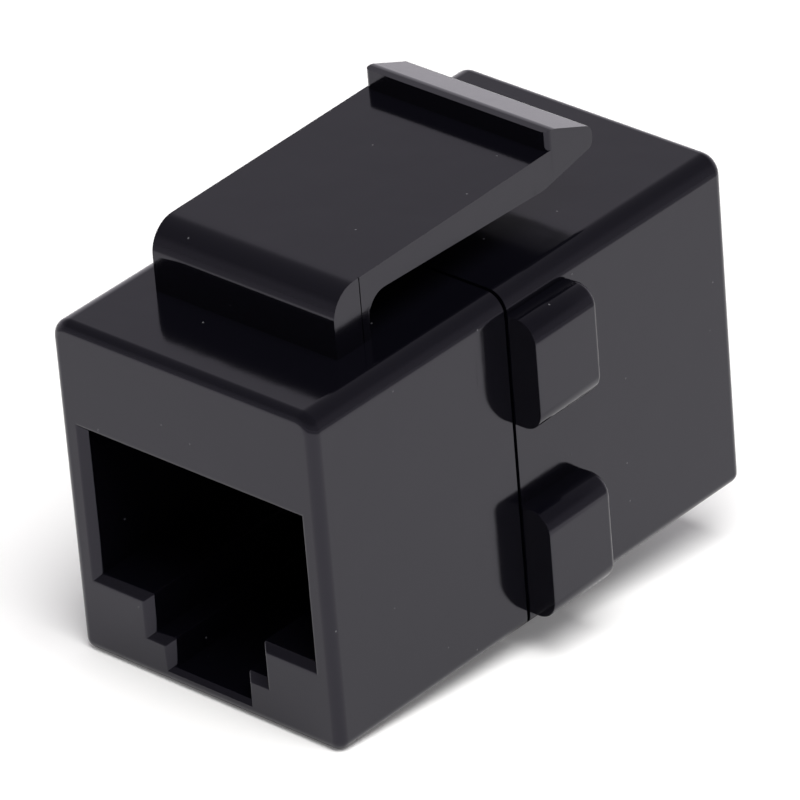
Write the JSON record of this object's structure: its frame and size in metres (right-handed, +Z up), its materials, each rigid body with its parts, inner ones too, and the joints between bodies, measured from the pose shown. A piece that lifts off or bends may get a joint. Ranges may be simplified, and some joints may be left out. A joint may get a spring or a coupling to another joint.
{
  "type": "keystone coupler",
  "caption": "Inline modular coupler for a keystone cut-out: a two-part box with a plug port at each end, a press-down latch on top, side lugs and a bottom catch.",
  "frame": {"origin": "under the middle of the body, level with the lowest face of the bottom catch", "axes": "+X across the part to its right seen from the front port, +Y from the front port to the rear port, +Z up, towards the latch"},
  "size_m": [0.0176, 0.026, 0.022],
  "materials": {
    "moulded_plastic": "smooth moulded, near black, semi-gloss",
    "insert_plastic": "plain moulded, black",
    "contact_metal": "gold plated spring wire",
    "board_laminate": "green solder mask"
  },
  "bodies": {
    "coupler": {"front_housing": "moulded_plastic", "rear_housing": "moulded_plastic", "circuit_board": "board_laminate", "front_contact_insert": "insert_plastic", "rear_contact_insert": "insert_plastic", "front_contact_1": "contact_metal", "rear_contact_1": "contact_metal", "front_contact_2": "contact_metal", "rear_contact_2": "contact_metal", "front_contact_3": "contact_metal", "rear_contact_3": "contact_metal", "front_contact_4": "contact_metal", "rear_contact_4": "contact_metal", "front_contact_5": "contact_metal", "rear_contact_5": "contact_metal", "front_contact_6": "contact_metal", "rear_contact_6": "contact_metal", "front_contact_7": "contact_metal", "rear_contact_7": "contact_metal", "front_contact_8": "contact_metal", "rear_contact_8": "contact_metal"},
    "latch": {"latch_arm": "moulded_plastic"}
  },
  "joints": [
    {"name": "latch_press", "type": "hinge", "parent": "coupler", "child": "latch", "pos_m": [0, -0.0068, 0.01865], "axis": [-1, 0, 0], "range_deg": [0, 7.5], "stiffness_Nm_per_rad": 0.4}
  ]
}
